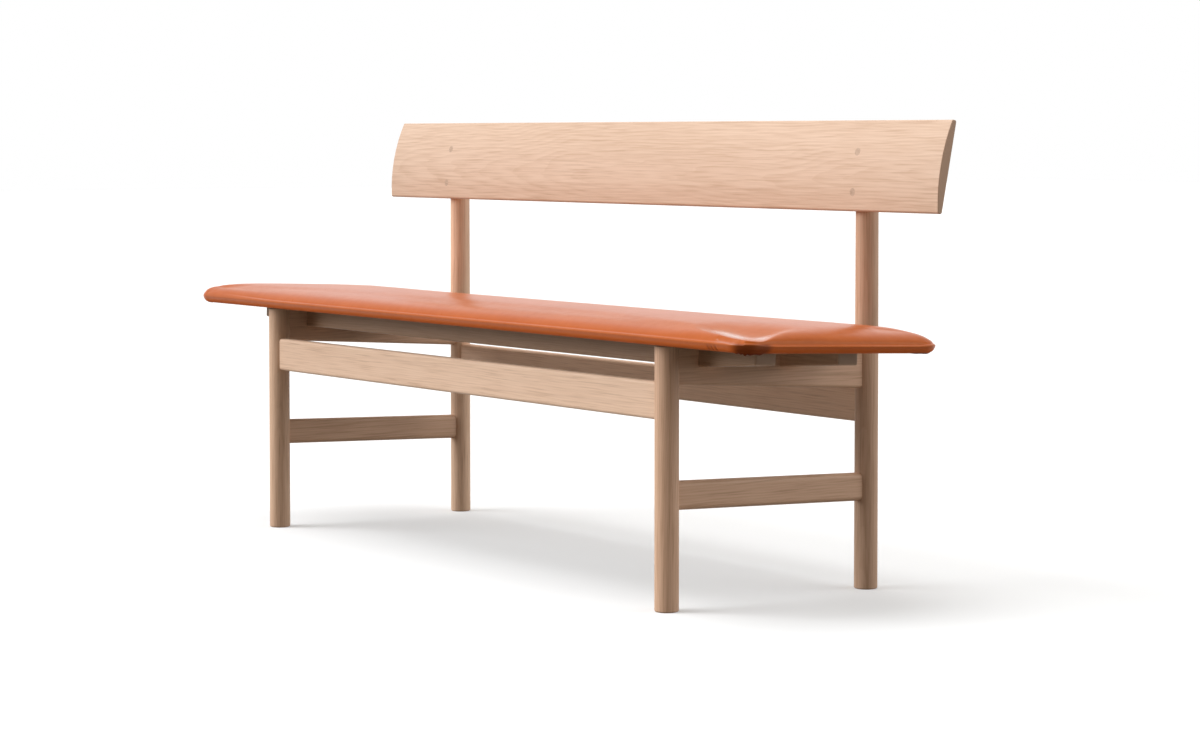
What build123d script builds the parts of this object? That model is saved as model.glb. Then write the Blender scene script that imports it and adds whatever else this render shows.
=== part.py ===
"""Oak bench with a leather seat pad and a curved back board.

Millimetres. X runs along the bench, -Y is the side that people sit down from and Z is up.
The origin is on the floor, under the middle of the bench. Left and right are as seen from the front.
"""
from build123d import *
from math import atan2, cos, radians, sin, tan
import os

os.makedirs("parts", exist_ok=True)

# Legs and rear posts
leg_pitch_y = 381.5
leg_diameter = 36.0
foot_rounding = 2.5
leg_top_easing = 1.5
post_top_diameter = 34.5
post_top_below_board = 9.0

# Seat pad
seat_length = 1600.0
seat_end_overhang = 227.5
seat_overhang = 43.0
seat_rear_clearance = 28.8
seat_front_height = 391.5
seat_slope = 2.4
seat_thickness = 37.5
seat_crown = 3.0
seat_nose_height = 9.0
seat_nose_rounding = 8.0
seat_underside_inset = 5.0
seat_shoulder_inset = 17.0
seat_shoulder_rounding = 24.0
seat_corner_radius = 32.0
seat_slab_least_corner = 5.0
seat_corner_draw = 24.0
seat_long_side_draw = 2.0
seat_short_side_draw = 1.0
leather_thickness = 1.2
leather_flange_width = 30.0
lining_thickness = 0.8
lining_overlap = 12.0
seat_board_thickness = 12.0
seat_board_inset = 10.0

# Long rails
rail_thickness = 17.0
rail_edge_rounding = 5.0
front_rail_height = 56.0
front_rail_below_seat = 56.0
rear_rail_height = 55.0
rear_rail_below_seat = 81.0

# Side rails under the seat
side_rail_front_height = 58.0
side_rail_rear_height = 66.0
side_rail_top_easing = 2.0

# Side stretchers
stretcher_thickness = 18.0
stretcher_height = 43.0
stretcher_front_height = 169.5
stretcher_slope = 1.87
stretcher_edge_rounding = 7.5

# Mortise and tenon joints
tenon_thickness = 10.0
tenon_shoulder = 7.0
tenon_depth = 26.0
tenon_clearance = 0.1
mortise_end_gap = 1.0

# Battens that carry the seat
batten_overhang = 141.0
batten_width = 38.0
batten_depth = 32.0
batten_end_depth = 22.0
batten_easing = 3.0
front_batten_setback = 71.5
rear_batten_setback = 225.0
notch_clearance = 0.15

# Back board
board_overhang = 193.0
board_height = 141.0
board_thickness = 17.0
board_edge_thickness = 8.0
board_lean = 11.7
board_above_seat = 186.0
board_back_setback = 22.0
board_top_rounding = 3.0
board_bottom_rounding = 3.8
board_end_easing = 1.0

# Screws and the plugs over them
plug_diameter = 12.0
plug_depth = 7.0
plug_clearance = 0.05
plug_low_height = 28.0
plug_spacing = 62.0
screw_diameter = 4.5
screw_head_diameter = 9.0
screw_head_height = 3.0
screw_clearance = 0.1
board_screw_length = 26.0
batten_screw_length = 50.0
seat_screw_recess = 12.0
seat_screw_bite = 8.0
seat_screw_inset = 92.5

# One length by which cutters run past what they cut
overrun = 5.0

leg_radius = leg_diameter / 2
leg_pitch_x = seat_length - 2 * seat_end_overhang
batten_length = leg_pitch_x + 2 * batten_overhang
board_length = leg_pitch_x + 2 * board_overhang
overall_depth = seat_overhang + leg_pitch_y + leg_radius
front_leg_y = seat_overhang - overall_depth / 2
rear_post_y = front_leg_y + leg_pitch_y
rail_outer_x = (leg_pitch_x + rail_thickness) / 2
front_rail_bottom = seat_front_height - front_rail_below_seat - front_rail_height
rear_rail_bottom = seat_front_height - rear_rail_below_seat - rear_rail_height
board_bottom_height = seat_front_height + board_above_seat
sides = {"left": -1, "right": 1}

# The seat's own frame: its XY plane is the underside of the pad, sloping down to the rear
slope = radians(seat_slope)
seat_depth = (seat_overhang + leg_pitch_y - leg_radius - seat_rear_clearance) / cos(slope)
seat_middle_y = front_leg_y - seat_overhang + seat_depth / 2 * cos(slope) - seat_nose_height * sin(slope)
seat_middle_z = seat_front_height - seat_depth / 2 * sin(slope)
seat_frame = Plane(origin=(0, seat_middle_y, seat_middle_z), x_dir=(1, 0, 0), z_dir=(0, sin(slope), cos(slope)))
seat_frame_axis = Axis(seat_frame.origin, seat_frame.z_dir)
board_underside = lining_thickness + leather_thickness

# How far the rounding of the pad's nose draws back the edge where its lower and upper walls would meet
lower_lean = atan2(seat_underside_inset, seat_nose_height - lining_thickness)
upper_lean = atan2(seat_shoulder_inset, seat_thickness - seat_nose_height)
nose_trim = seat_nose_rounding * (1 / cos((lower_lean + upper_lean) / 2) - 1)

# The back board's own frame: its XY plane is the flat back of the board, its normal points to the sitter
lean = radians(board_lean)
board_corner = (0, rear_post_y - board_back_setback, board_bottom_height)
board_frame = Plane(origin=board_corner, x_dir=(1, 0, 0), z_dir=(0, -cos(lean), sin(lean)))
board_section = Plane(origin=board_corner, x_dir=(0, sin(lean), cos(lean)), z_dir=(1, 0, 0))
board_top_height = board_bottom_height + board_height * cos(lean)


def seat_underside(y):
    """Height of the seat's underside at a place y in the bench's depth."""
    return seat_middle_z - (y - seat_middle_y) * tan(slope)


def seat_frame_y(setback):
    """Place down the seat's slope of something that stands back from the front legs' axis."""
    return (front_leg_y + setback - seat_middle_y) / cos(slope)


def leg_foot(side, y):
    """Level plane on the floor, centred on the leg or post of one side."""
    return Plane((side * leg_pitch_x / 2, y, 0))


def save(piece, name):
    """Label a finished piece and write it."""
    piece.label = name
    export_step(piece, f"parts/{name}.step")


# Joints: each is a plane on the leg's axis, its normal along the tenon and its X along the tenon's height


def level_joint(side, y, middle):
    """Where a long rail enters the leg on one side."""
    return Plane(origin=(side * leg_pitch_x / 2, y, middle), x_dir=(0, 0, 1), z_dir=(side, 0, 0))


def sloped_joint(side, end, middle, angle):
    """Where a side rail or stretcher enters the front leg, end -1, or the rear post, end 1."""
    y = front_leg_y if end < 0 else rear_post_y
    fall = radians(angle)
    along = (0, end * cos(fall), -end * sin(fall))
    return Plane(origin=(side * leg_pitch_x / 2, y, middle), x_dir=(0, sin(fall), cos(fall)), z_dir=along)


def front_rail_joint(side):
    """Joint of the front rail, half way up the rail."""
    return level_joint(side, front_leg_y, front_rail_bottom + front_rail_height / 2)


def rear_rail_joint(side):
    """Joint of the rear rail, half way up the rail."""
    return level_joint(side, rear_post_y, rear_rail_bottom + rear_rail_height / 2)


def side_rail_joint(side, end):
    """Joint of a side rail, half way up the rail's own end."""
    height = side_rail_front_height if end < 0 else side_rail_rear_height
    y = front_leg_y if end < 0 else rear_post_y
    return sloped_joint(side, end, seat_underside(y) - height / 2, seat_slope)


def stretcher_joint(side, end):
    """Joint of a side stretcher, half way up the stretcher's own end."""
    drop = 0 if end < 0 else leg_pitch_y * tan(radians(stretcher_slope))
    return sloped_joint(side, end, stretcher_front_height - drop, stretcher_slope)


def tongue(joint, height, end, growth):
    """A tenon with rounded edges, from behind its shoulder to an end measured from the leg's surface."""
    with BuildPart() as piece:
        with BuildSketch(joint.offset(-leg_radius - overrun)):
            SlotOverall(height - 2 * tenon_shoulder + 2 * growth, tenon_thickness + 2 * growth)
        extrude(amount=overrun + end)
    return piece.part


def tenon(joint, height):
    """The tongue on the end of a rail of this height."""
    return tongue(joint, height, tenon_depth, 0)


def mortise(joint, height):
    """The hollow in the leg that the tenon is glued into."""
    return tongue(joint, height, tenon_depth + mortise_end_gap, tenon_clearance)


def leg_envelope(side, y):
    """The round leg, as a cutter for a rail's shoulder that is shaped to it."""
    with BuildPart() as piece:
        with BuildSketch(leg_foot(side, y)):
            Circle(leg_radius)
        extrude(amount=board_top_height)
    return piece.part


def screw_form(plane, length, growth):
    """A screw with its head's top on the plane and its shank against the normal, or the hole for one."""
    with BuildPart() as piece:
        with BuildSketch(plane):
            Circle(screw_head_diameter / 2 + growth)
        extrude(amount=-screw_head_height)
        with BuildSketch(plane):
            Circle(screw_diameter / 2 + growth)
        extrude(amount=-length)
    return piece.part


def bore(plane, diameter, length):
    """A round cutter from the plane along its normal."""
    with BuildPart() as piece:
        with BuildSketch(plane):
            Circle(diameter / 2)
        extrude(amount=length)
    return piece.part


# Screw places
batten_setbacks = {"front": front_batten_setback, "rear": rear_batten_setback}
seat_screw_length = batten_depth - seat_screw_recess + board_underside + seat_screw_bite


def board_screw_planes(side):
    """Planes under the plugs of one post, on which the heads end."""
    heights = (plug_low_height, plug_low_height + plug_spacing)
    spots = [(side * leg_pitch_x / 2, height, board_thickness - plug_depth) for height in heights]
    return [Plane(board_frame.from_local_coords(spot), (1, 0, 0), board_frame.z_dir) for spot in spots]


def batten_screw_plane(side, row):
    """Plane on top of a batten over a side rail, on which the head ends."""
    spot = (side * leg_pitch_x / 2, seat_frame_y(batten_setbacks[row]), 0)
    return Plane(seat_frame.from_local_coords(spot), (1, 0, 0), seat_frame.z_dir)


def seat_screw_planes(row):
    """Planes inside a batten, facing down, on which the seat screws' heads end."""
    y = seat_frame_y(batten_setbacks[row])
    reach = leg_pitch_x / 2 - seat_screw_inset
    spots = [(step * reach, y, seat_screw_recess - batten_depth) for step in (-1, 0, 1)]
    return [Plane(seat_frame.from_local_coords(spot), (1, 0, 0), -seat_frame.z_dir) for spot in spots]


# Front legs and rear posts

for name, side in sides.items():
    with BuildPart() as front_leg:
        with BuildSketch(leg_foot(side, front_leg_y)):
            Circle(leg_radius)
        extrude(amount=seat_underside(front_leg_y + leg_radius))
        fillet(front_leg.faces().sort_by(Axis.Z)[0].edges(), foot_rounding)
        chamfer(front_leg.faces().sort_by(Axis.Z)[-1].edges(), leg_top_easing)
        add(mortise(front_rail_joint(side), front_rail_height), mode=Mode.SUBTRACT)
        add(mortise(side_rail_joint(side, -1), side_rail_front_height), mode=Mode.SUBTRACT)
        add(mortise(stretcher_joint(side, -1), stretcher_height), mode=Mode.SUBTRACT)
    save(front_leg.part, f"front_leg_{name}")

    taper_start = seat_underside(rear_post_y)
    post_top = board_top_height - post_top_below_board
    with BuildPart() as rear_post:
        with BuildSketch(leg_foot(side, rear_post_y)):
            Circle(leg_radius)
        extrude(amount=taper_start)
        fillet(rear_post.faces().sort_by(Axis.Z)[0].edges(), foot_rounding)
        with BuildSketch(leg_foot(side, rear_post_y).offset(taper_start)):
            Circle(leg_radius)
        with BuildSketch(leg_foot(side, rear_post_y).offset(post_top)):
            Circle(post_top_diameter / 2)
        loft()
        chamfer(rear_post.faces().sort_by(Axis.Z)[-1].edges(), leg_top_easing)
        split(bisect_by=board_frame, keep=Keep.BOTTOM)
        add(mortise(rear_rail_joint(side), rear_rail_height), mode=Mode.SUBTRACT)
        add(mortise(side_rail_joint(side, 1), side_rail_rear_height), mode=Mode.SUBTRACT)
        add(mortise(stretcher_joint(side, 1), stretcher_height), mode=Mode.SUBTRACT)
        for plane in board_screw_planes(side):
            add(screw_form(plane, board_screw_length, screw_clearance), mode=Mode.SUBTRACT)
    save(rear_post.part, f"rear_post_{name}")

# Front and rear rails

long_rails = {
    "front_rail": (front_leg_y, front_rail_bottom, front_rail_height, front_rail_joint),
    "rear_rail": (rear_post_y, rear_rail_bottom, rear_rail_height, rear_rail_joint),
}
for name, (y, bottom, height, joint) in long_rails.items():
    with BuildPart() as long_rail:
        with BuildSketch(Plane.YZ.offset(-leg_pitch_x / 2)):
            with Locations((y, bottom + height / 2)):
                RectangleRounded(rail_thickness, height, rail_edge_rounding)
        extrude(amount=leg_pitch_x)
        for side in sides.values():
            add(leg_envelope(side, y), mode=Mode.SUBTRACT)
            add(tenon(joint(side), height))
    save(long_rail.part, name)

# Side rails, housed for the battens


def housing(setback):
    """The notch in a side rail's top edge that a batten lies in."""
    with BuildPart() as piece:
        with BuildSketch(seat_frame.offset(-batten_depth)):
            with Locations((0, seat_frame_y(setback))):
                Rectangle(seat_length, batten_width + 2 * notch_clearance)
        extrude(amount=batten_depth + overrun)
        fillet(piece.faces().sort_by(seat_frame_axis)[0].edges().filter_by(Axis.X), batten_easing)
    return piece.part


for name, side in sides.items():
    with BuildPart() as side_rail:
        with BuildSketch(Plane.YZ.offset(side * leg_pitch_x / 2)):
            with BuildLine():
                Polyline(
                    (front_leg_y, seat_underside(front_leg_y) - side_rail_front_height),
                    (rear_post_y, seat_underside(rear_post_y) - side_rail_rear_height),
                    (rear_post_y, seat_underside(rear_post_y)),
                    (front_leg_y, seat_underside(front_leg_y)),
                    close=True,
                )
            make_face()
        extrude(amount=rail_thickness / 2, both=True)
        fillet(side_rail.faces().sort_by(Axis.Z)[0].edges().filter_by(Axis.X, reverse=True), rail_edge_rounding)
        fillet(side_rail.faces().sort_by(Axis.Z)[-1].edges().filter_by(Axis.X, reverse=True), side_rail_top_easing)
        for setback in batten_setbacks.values():
            add(housing(setback), mode=Mode.SUBTRACT)
        for end, height in ((-1, side_rail_front_height), (1, side_rail_rear_height)):
            add(leg_envelope(side, front_leg_y if end < 0 else rear_post_y), mode=Mode.SUBTRACT)
            add(tenon(side_rail_joint(side, end), height))
        for row in batten_setbacks:
            add(screw_form(batten_screw_plane(side, row), batten_screw_length, screw_clearance), mode=Mode.SUBTRACT)
    save(side_rail.part, f"side_rail_{name}")

# Side stretchers

for name, side in sides.items():
    front_joint = stretcher_joint(side, -1)
    rear_joint = stretcher_joint(side, 1)
    with BuildPart() as stretcher:
        with BuildSketch(front_joint):
            RectangleRounded(stretcher_height, stretcher_thickness, stretcher_edge_rounding)
        extrude(amount=-(rear_joint.origin - front_joint.origin).length)
        for end, joint in ((-1, front_joint), (1, rear_joint)):
            add(leg_envelope(side, front_leg_y if end < 0 else rear_post_y), mode=Mode.SUBTRACT)
            add(tenon(joint, stretcher_height))
    save(stretcher.part, f"side_stretcher_{name}")

# Battens with ends that taper up, laid in the side rails' housings

for row, setback in batten_setbacks.items():
    back_edge = seat_frame.from_local_coords((0, seat_frame_y(setback) + batten_width / 2, 0))
    with BuildPart() as batten:
        with BuildSketch(Plane(back_edge, (1, 0, 0), -seat_frame.y_dir)):
            with BuildLine():
                Polyline(
                    (-batten_length / 2, 0),
                    (-batten_length / 2, -batten_end_depth),
                    (-rail_outer_x, -batten_depth),
                    (rail_outer_x, -batten_depth),
                    (batten_length / 2, -batten_end_depth),
                    (batten_length / 2, 0),
                    close=True,
                )
            make_face()
        extrude(amount=batten_width)
        top_edges = batten.faces().sort_by(seat_frame_axis)[-1].edges()
        bends = batten.faces().sort_by(seat_frame_axis)[0].edges().filter_by(Axis(seat_frame.origin, seat_frame.y_dir))
        fillet([edge for edge in batten.edges() if edge not in top_edges and edge not in bends], batten_easing)
        for side in sides.values():
            add(screw_form(batten_screw_plane(side, row), batten_screw_length, screw_clearance), mode=Mode.SUBTRACT)
        for plane in seat_screw_planes(row):
            add(screw_form(plane, seat_screw_length, screw_clearance), mode=Mode.SUBTRACT)
            add(bore(plane, screw_head_diameter + 2 * screw_clearance, batten_depth), mode=Mode.SUBTRACT)
    save(batten.part, f"seat_batten_{row}")

with BuildPart() as batten_screws:
    for row in batten_setbacks:
        for side in sides.values():
            add(screw_form(batten_screw_plane(side, row), batten_screw_length, 0))
save(batten_screws.part, "batten_screws")

with BuildPart() as seat_screws:
    for row in batten_setbacks:
        for plane in seat_screw_planes(row):
            add(screw_form(plane, seat_screw_length, 0))
save(seat_screws.part, "seat_screws")

# Seat pad: lining, board, foam and leather cover


def pad_outline(height, inset, corner):
    """Plan of the pad at one height over its underside: four drawn-in sides and four round corners."""
    x = seat_length / 2 + nose_trim - inset
    y = seat_depth / 2 + nose_trim - inset
    with BuildSketch(seat_frame.offset(height)) as outline:
        with BuildLine():
            for sx, sy in ((1, 1), (-1, 1), (-1, -1), (1, -1)):
                middle = (sx * (x - corner * (1 - cos(radians(45)))), sy * (y - corner * (1 - cos(radians(45)))))
                ThreePointArc((sx * x, sy * (y - corner)), middle, (sx * (x - corner), sy * y))
            for sx in (-1, 1):
                ThreePointArc((sx * x, corner - y), (sx * (x - seat_short_side_draw), 0), (sx * x, y - corner))
            for sy in (-1, 1):
                ThreePointArc((corner - x, sy * y), (0, sy * (y - seat_long_side_draw)), (x - corner, sy * y))
        make_face()
    return outline.sketch


def crown(top):
    """Everything under a top surface that is arched over the pad's depth."""
    half = seat_depth / 2
    with BuildPart() as form:
        with BuildSketch(Plane(seat_frame.origin, seat_frame.y_dir, (1, 0, 0)).offset(-seat_length / 2)):
            with BuildLine():
                Polyline((half, top - seat_crown), (half, 0), (-half, 0), (-half, top - seat_crown))
                Spline((-half, top - seat_crown), (0, top), (half, top - seat_crown))
            make_face()
        extrude(amount=seat_length)
    return form.part


def pad(skin):
    """The pad's whole form, or the form left inside a skin of this thickness."""
    corner = seat_corner_radius - skin
    levels = [
        (lining_thickness + skin, seat_underside_inset + skin, corner),
        (seat_nose_height, skin, corner),
        (seat_thickness, seat_shoulder_inset + skin, corner + seat_corner_draw),
    ]
    with BuildPart() as form:
        loft([pad_outline(*level) for level in levels], ruled=True)
        fillet(form.edges().group_by(seat_frame_axis)[2], seat_nose_rounding - skin)
        add(crown(seat_thickness - skin), mode=Mode.INTERSECT)
        fillet(form.faces().sort_by(seat_frame_axis)[-1].edges(), seat_shoulder_rounding - skin)
    return form.part


def slab(bottom, thickness, inset):
    """A flat board or sheet under the pad, set in from the pad's plan."""
    with BuildPart() as form:
        with BuildSketch(seat_frame.offset(bottom)):
            corner = max(seat_corner_radius - inset, seat_slab_least_corner)
            RectangleRounded(seat_length - 2 * inset, seat_depth - 2 * inset, corner)
        extrude(amount=thickness)
    return form.part


with BuildPart() as seat_lining:
    add(slab(0, lining_thickness, leather_flange_width - lining_overlap))
    for row in batten_setbacks:
        for plane in seat_screw_planes(row):
            add(screw_form(plane, seat_screw_length, screw_clearance), mode=Mode.SUBTRACT)
save(seat_lining.part, "seat_lining")

with BuildPart() as seat_board:
    add(slab(board_underside, seat_board_thickness, seat_board_inset))
    for row in batten_setbacks:
        for plane in seat_screw_planes(row):
            add(screw_form(plane, seat_screw_length, screw_clearance), mode=Mode.SUBTRACT)
save(seat_board.part, "seat_board")

with BuildPart() as seat_foam:
    add(pad(leather_thickness))
    add(slab(board_underside, seat_board_thickness, seat_board_inset), mode=Mode.SUBTRACT)
save(seat_foam.part, "seat_foam")

with BuildPart() as seat_cover:
    add(pad(0))
    add(pad(leather_thickness), mode=Mode.SUBTRACT)
    add(slab(lining_thickness, leather_thickness, leather_flange_width), mode=Mode.SUBTRACT)
save(seat_cover.part, "seat_cover")

# Back board, its screws and the plugs over them


def board_blank():
    """The board before its screw holes: a flat back, a front curved as one arc, and rounded edges."""
    with BuildPart() as form:
        with BuildSketch(board_section.offset(-board_length / 2)) as section:
            with BuildLine():
                Polyline((0, board_edge_thickness), (0, 0), (board_height, 0), (board_height, board_edge_thickness))
                ThreePointArc(
                    (0, board_edge_thickness),
                    (board_height / 2, board_thickness),
                    (board_height, board_edge_thickness),
                )
            make_face()
            fillet(section.vertices().group_by(Axis.X)[0], board_bottom_rounding)
            fillet(section.vertices().group_by(Axis.X)[-1], board_top_rounding)
        extrude(amount=board_length)
        for end_face in form.faces().sort_by(Axis.X)[0], form.faces().sort_by(Axis.X)[-1]:
            chamfer(end_face.edges(), board_end_easing)
    return form.part


def all_board_screw_planes():
    """The screw planes of both posts."""
    return [plane for side in sides.values() for plane in board_screw_planes(side)]


with BuildPart() as back_board:
    add(board_blank())
    for plane in all_board_screw_planes():
        add(screw_form(plane, board_screw_length, screw_clearance), mode=Mode.SUBTRACT)
        add(bore(plane, plug_diameter + 2 * plug_clearance, plug_depth + overrun), mode=Mode.SUBTRACT)
save(back_board.part, "back_board")

with BuildPart() as back_board_screws:
    for plane in all_board_screw_planes():
        add(screw_form(plane, board_screw_length, 0))
save(back_board_screws.part, "back_board_screws")

with BuildPart() as back_board_plugs:
    for plane in all_board_screw_planes():
        add(bore(plane, plug_diameter, plug_depth + overrun))
    add(board_blank(), mode=Mode.INTERSECT)
save(back_board_plugs.part, "back_board_plugs")
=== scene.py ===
"""Oak bench with a curved back board and a leather seat pad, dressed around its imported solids.

Metres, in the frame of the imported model: X runs along the bench, -Y is the side that people sit down from
and Z is up. Left and right are as seen from the front.
"""
import logging
import math
from dataclasses import dataclass, replace
from enum import Enum
from typing import Any, Callable, Mapping, Union

import bpy
import numpy as np
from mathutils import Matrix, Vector


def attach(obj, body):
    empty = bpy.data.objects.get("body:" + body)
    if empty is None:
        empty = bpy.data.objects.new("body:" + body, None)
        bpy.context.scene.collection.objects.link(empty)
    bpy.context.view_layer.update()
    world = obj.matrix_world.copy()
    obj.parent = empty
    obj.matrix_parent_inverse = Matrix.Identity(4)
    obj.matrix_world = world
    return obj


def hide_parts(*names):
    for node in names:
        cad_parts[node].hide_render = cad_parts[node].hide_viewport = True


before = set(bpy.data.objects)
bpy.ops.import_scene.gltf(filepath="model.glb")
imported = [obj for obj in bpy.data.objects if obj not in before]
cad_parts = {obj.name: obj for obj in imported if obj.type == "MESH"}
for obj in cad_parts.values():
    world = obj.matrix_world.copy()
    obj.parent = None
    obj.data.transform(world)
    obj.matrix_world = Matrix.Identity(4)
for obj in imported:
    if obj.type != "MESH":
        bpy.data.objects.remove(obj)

BODY = "root"
WHITE = (1.0, 1.0, 1.0)
log = logging.getLogger("bench")

Colour = tuple[float, float, float]
Levels = tuple[float, float]
Value = Union["Signal", float]
Waves = Union[float, tuple[float, float, float]]
Hold = Callable[[np.ndarray], tuple[np.ndarray, np.ndarray]]


class Signal:
    """One output socket of a shader node; arithmetic on it adds Math nodes."""

    def __init__(self, shader: "Shader", socket: bpy.types.NodeSocket) -> None:
        """Wrap a node's output socket."""
        self.shader = shader
        self.socket = socket

    def _maths(self, operation: str, *values: Value) -> "Signal":
        """One Math node's output."""
        return self.shader.node("ShaderNodeMath", {"operation": operation}, dict(enumerate(values)))

    def __add__(self, other: Value) -> "Signal":
        """This plus other."""
        return self._maths("ADD", self, other)

    def __radd__(self, other: Value) -> "Signal":
        """Other plus this."""
        return self._maths("ADD", other, self)

    def __sub__(self, other: Value) -> "Signal":
        """This minus other."""
        return self._maths("SUBTRACT", self, other)

    def __rsub__(self, other: Value) -> "Signal":
        """Other minus this."""
        return self._maths("SUBTRACT", other, self)

    def __mul__(self, other: Value) -> "Signal":
        """This times other."""
        return self._maths("MULTIPLY", self, other)

    def __rmul__(self, other: Value) -> "Signal":
        """Other times this."""
        return self._maths("MULTIPLY", other, self)

    def __truediv__(self, other: Value) -> "Signal":
        """This over other."""
        return self._maths("DIVIDE", self, other)

    def root(self) -> "Signal":
        """Square root."""
        return self._maths("SQRT", self)

    def fraction(self) -> "Signal":
        """What is left over the whole number below."""
        return self._maths("FRACT", self)

    def away(self) -> "Signal":
        """Absolute value."""
        return self._maths("ABSOLUTE", self)

    def step(self, low: float, high: float, start: float = 0.0, end: float = 1.0) -> "Signal":
        """Go smoothly from start, at the low level and below, to end, at the high level and above."""
        levels = {"Value": self, "From Min": low, "From Max": high, "To Min": start, "To Max": end}
        return self.shader.node("ShaderNodeMapRange", {"interpolation_type": "SMOOTHSTEP"}, levels)


class Shader:
    """The nodes of one material or of the world."""

    def __init__(self, owner: Union[bpy.types.Material, bpy.types.World]) -> None:
        """Start with no nodes.

        Args:
            owner: the material or world that gets them.
        """
        owner.use_nodes = True
        self.owner = owner
        self.tree = owner.node_tree
        self.tree.nodes.clear()

    def node(
        self,
        kind: str,
        settings: Mapping[str, Any],
        inputs: Mapping[Union[str, int], Any],
        output: Union[str, int] = 0,
    ) -> Signal:
        """Add one node of any kind.

        Args:
            kind: the node's type.
            settings: its properties, set before its inputs.
            inputs: value or link of each input socket, by name or place.
            output: name or place of the output that is wanted.

        Returns:
            That output.
        """
        made = self.tree.nodes.new(kind)
        for key, value in settings.items():
            setattr(made, key, value)
        for key, value in inputs.items():
            if isinstance(value, Signal):
                self.tree.links.new(value.socket, made.inputs[key])
            else:
                slot = made.inputs[key]
                slot.default_value = (*value, 1.0) if slot.type == "RGBA" and len(value) == 3 else value
        return Signal(self, made.outputs[output])

    def place(self) -> Signal:
        """The point on the piece, in Object coordinates."""
        return self.node("ShaderNodeTexCoord", {}, {}, "Object")

    def split(self, vector: Signal) -> tuple[Signal, ...]:
        """The three parts of a vector."""
        first = self.node("ShaderNodeSeparateXYZ", {}, {0: vector})
        return first, *(Signal(self, socket) for socket in first.socket.node.outputs[1:])

    def join(self, x: Value, y: Value, z: Value) -> Signal:
        """A vector from its three parts."""
        return self.node("ShaderNodeCombineXYZ", {}, {0: x, 1: y, 2: z})

    def noise(self, point: Signal, waves: Waves, seed: float, layers: float) -> Signal:
        """Soft noise from 0 to 1 that may be stretched.

        Args:
            point: where it is read.
            waves: waves per metre, alike all round or along the point's three parts.
            seed: shifts the noise, so that no two pieces match.
            layers: how many finer layers are added.

        Returns:
            The noise.
        """
        scale = waves if isinstance(waves, tuple) else (waves,) * 3
        shift = (seed, 1.7 * seed, -seed)
        stretched = self.node("ShaderNodeVectorMath", {"operation": "MULTIPLY"}, {0: point, 1: scale})
        shifted = self.node("ShaderNodeVectorMath", {"operation": "ADD"}, {0: stretched, 1: shift})
        return self.node("ShaderNodeTexNoise", {}, {"Vector": shifted, "Scale": 1.0, "Detail": layers})

    def blend(self, share: Value, first: Any, second: Any) -> Signal:
        """Mix two colours or links, with this share of the second."""
        settings = {"data_type": "RGBA", "blend_type": "MIX", "clamp_factor": True}
        return self.node("ShaderNodeMix", settings, {0: share, 6: first, 7: second}, 2)

    def bump(self, height: Signal, depth: float, strength: float) -> Signal:
        """The normal of a surface raised by a height from 0 to 1, so many metres deep."""
        return self.node("ShaderNodeBump", {}, {"Strength": strength, "Distance": depth, "Height": height})

    def finish(self, body: Signal) -> Any:
        """Link a shader to the output.

        Args:
            body: the shader.

        Returns:
            The finished material or world.
        """
        world = isinstance(self.owner, bpy.types.World)
        made = self.tree.nodes.new("ShaderNodeOutputWorld" if world else "ShaderNodeOutputMaterial")
        self.tree.links.new(body.socket, made.inputs["Surface"])
        return self.owner


@dataclass(frozen=True)
class Finish:
    """What a piece is made of. Each kind of finish says how its surface looks."""

    name: str

    def look(self, shader: Shader) -> dict[str, Any]:
        """Values and links of the Principled shader's sockets."""
        raise NotImplementedError

    def material(self) -> bpy.types.Material:
        """Write the material, which is read from Object coordinates."""
        shader = Shader(bpy.data.materials.new(self.name))
        return shader.finish(shader.node("ShaderNodeBsdfPrincipled", {}, self.look(shader)))


class Grain(Enum):
    """Which way the fibres of a piece of wood run."""

    ALONG = "along the bench"
    ACROSS = "from front to rear"
    UPRIGHT = "up"


class Wave(Enum):
    """The wood's soft noises: waves per metre along and across the fibres, seed and finer layers."""

    BEND_SIDE = (1.6, 5.0, 0.0, 1.0)
    BEND_UP = (1.9, 5.0, 31.0, 1.0)
    RIPPLE = (7.0, 26.0, 67.0, 2.0)
    RAGGED = (9.0, 60.0, 7.0, 3.0)
    RING_WIDTH = (1.0, 12.0, 53.0, 1.0)
    FIBRE = (14.0, 900.0, 11.0, 3.0)
    BROAD = (2.2, 14.0, 19.0, 2.0)
    LINE = (3.0, 150.0, 23.0, 2.0)
    HAIR = (13.0, 380.0, 71.0, 3.0)
    PATCH = (5.0, 35.0, 83.0, 1.0)

    def read(self, shader: Shader, point: Signal, seed: float) -> Signal:
        """The noise from 0 to 1 at a point along and across the fibres, with the piece's own seed."""
        along, across, own_seed, layers = self.value
        return shader.noise(point, (along, across, across), seed + own_seed, layers)


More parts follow.
